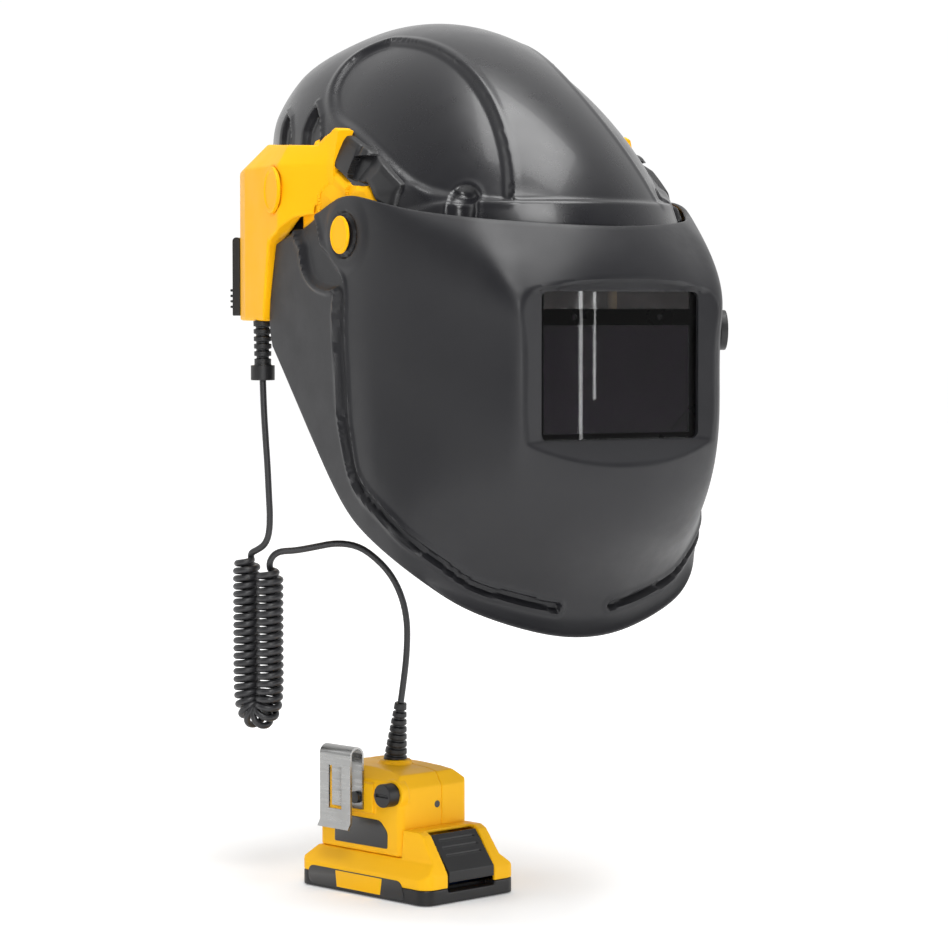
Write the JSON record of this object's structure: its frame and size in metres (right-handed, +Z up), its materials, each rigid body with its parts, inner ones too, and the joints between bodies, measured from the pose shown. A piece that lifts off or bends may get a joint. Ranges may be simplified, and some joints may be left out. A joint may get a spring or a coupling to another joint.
{
  "type": "powered air respirator",
  "caption": "Welding helmet with lift-up auto-darkening visor, rear blower and filters, curly lead and battery belt pack.",
  "frame": {"origin": "centre of the headband, level with its middle", "axes": "+Z up, -Y the way the wearer faces, +X the wearer's left"},
  "size_m": [0.2393, 0.3741, 0.5215],
  "materials": {
    "cap_gloss": "smooth moulded, glossy",
    "trim_black": "fine grain",
    "visor_matte": "fine matte grain",
    "housing_yellow": "satin moulded",
    "pack_yellow": "fine grain",
    "clear_lens": "clear cover plate",
    "dark_filter": "dark filter glass",
    "solar": "thin film cells",
    "cartridge": "smooth",
    "headgear": "flexible nylon",
    "strap_web": "woven webbing",
    "sweat_cloth": "padded towelling",
    "seal_cloth": "flame resistant cotton",
    "lead_rubber": "satin cable jacket",
    "relief_rubber": "moulded rubber",
    "clip_steel": "zinc plated",
    "screw_black": "black oxide",
    "label_dark": "printed film, plain",
    "filter_media": "pleated glass fibre",
    "board_green": "circuit board",
    "wheel_grey": "moulded",
    "motor_steel": "plated can",
    "contact_brass": "contact plating",
    "fuse_glass": "glass tube",
    "cell_wrap": "shrink wrap"
  },
  "bodies": {
    "helmet": {"cap_shell": "cap_gloss", "slot_cover_right": "trim_black", "slot_cover_left": "trim_black", "pivot_hubs": "trim_black", "pivot_button_right": "housing_yellow", "pivot_button_left": "housing_yellow", "blower_housing": "housing_yellow", "blower_back_panel": "trim_black", "filter_right": "filter_media", "filter_left": "filter_media", "prefilters": "filter_media", "blower_volute": "trim_black", "blower_motor": "motor_steel", "control_board": "board_green", "housing_screws": "screw_black", "headband": "headgear", "sweatband": "sweat_cloth", "crown_straps": "strap_web", "suspension_arms": "trim_black", "ratchet_housing": "trim_black", "air_duct": "trim_black", "air_outlet": "trim_black", "helmet_strain_relief": "relief_rubber", "lead_helmet": "lead_rubber", "lead_coil": "lead_rubber", "lead_pack": "lead_rubber", "pack_strain_relief": "relief_rubber", "adapter_housing_clip_side": "pack_yellow", "adapter_housing_far_side": "pack_yellow", "adapter_terminals": "contact_brass", "adapter_board": "board_green", "fuse_holder": "trim_black", "fuse": "fuse_glass", "belt_clip": "clip_steel", "clip_screw": "screw_black", "rating_label": "label_dark", "adapter_screw": "screw_black"},
    "visor": {"visor_shell": "visor_matte", "outer_cover_lens": "clear_lens", "darkening_cartridge": "cartridge", "arc_sensors": "solar", "lcd_glass": "dark_filter", "solar_cells": "solar", "lens_retainer": "cartridge", "inner_cover_lens": "clear_lens", "shade_potentiometer": "trim_black", "face_seal": "seal_cloth"},
    "shade_knob": {"shade_knob": "trim_black"},
    "filter_door_right": {"filter_door_right": "trim_black"},
    "filter_door_left": {"filter_door_left": "trim_black"},
    "power_button": {"power_button": "housing_yellow"},
    "impeller": {"impeller": "wheel_grey"},
    "ratchet_knob": {"ratchet_knob": "trim_black"},
    "battery": {"battery_cover": "pack_yellow", "battery_base": "trim_black", "battery_cells": "cell_wrap", "battery_terminal_block": "trim_black", "battery_side_strip": "label_dark"},
    "release_button": {"release_button": "trim_black"},
    "fuse_cap": {"fuse_cap": "trim_black"}
  },
  "joints": [
    {"name": "visor_lift", "type": "hinge", "parent": "helmet", "child": "visor", "pos_m": [0, -0.047, 0.025], "axis": [-1, 0, 0], "range_deg": [0, 70]},
    {"name": "shade_dial", "type": "hinge", "parent": "visor", "child": "shade_knob", "pos_m": [0.0795, -0.1424, -0.029], "axis": [0.915, -0.4035, 0], "range_deg": [0, 270]},
    {"name": "filter_door_right_hinge", "type": "hinge", "parent": "helmet", "child": "filter_door_right", "pos_m": [-0.08124, 0.14518, 0.025], "axis": [0.6034, 0.7974, 0], "range_deg": [0, 80]},
    {"name": "filter_door_left_hinge", "type": "hinge", "parent": "helmet", "child": "filter_door_left", "pos_m": [0.08124, 0.14518, 0.025], "axis": [0.6034, -0.7974, 0], "range_deg": [0, 80]},
    {"name": "power_press", "type": "slide", "parent": "helmet", "child": "power_button", "axis": [0.9898, -0.1425, 0], "range_m": [0, 0.0008], "stiffness_N_per_m": 1200},
    {"name": "impeller_spin", "type": "hinge", "parent": "helmet", "child": "impeller", "pos_m": [0, 0.181, 0.02], "axis": [0, 1, 0], "continuous": true},
    {"name": "ratchet_turn", "type": "hinge", "parent": "helmet", "child": "ratchet_knob", "pos_m": [0, 0.1119, 0], "axis": [0, 1, 0], "continuous": true},
    {"name": "battery_slide", "type": "slide", "parent": "helmet", "child": "battery", "axis": [0.2419, -0.9703, 0], "range_m": [0, 0.12]},
    {"name": "battery_release", "type": "slide", "parent": "battery", "child": "release_button", "axis": [0, 0, -1], "range_m": [0, 0.0035], "stiffness_N_per_m": 700},
    {"name": "fuse_cap_turn", "type": "hinge", "parent": "helmet", "child": "fuse_cap", "pos_m": [-0.0588, -0.00425, -0.305], "axis": [-0.9703, -0.2419, 0], "range_deg": [0, 90]}
  ]
}
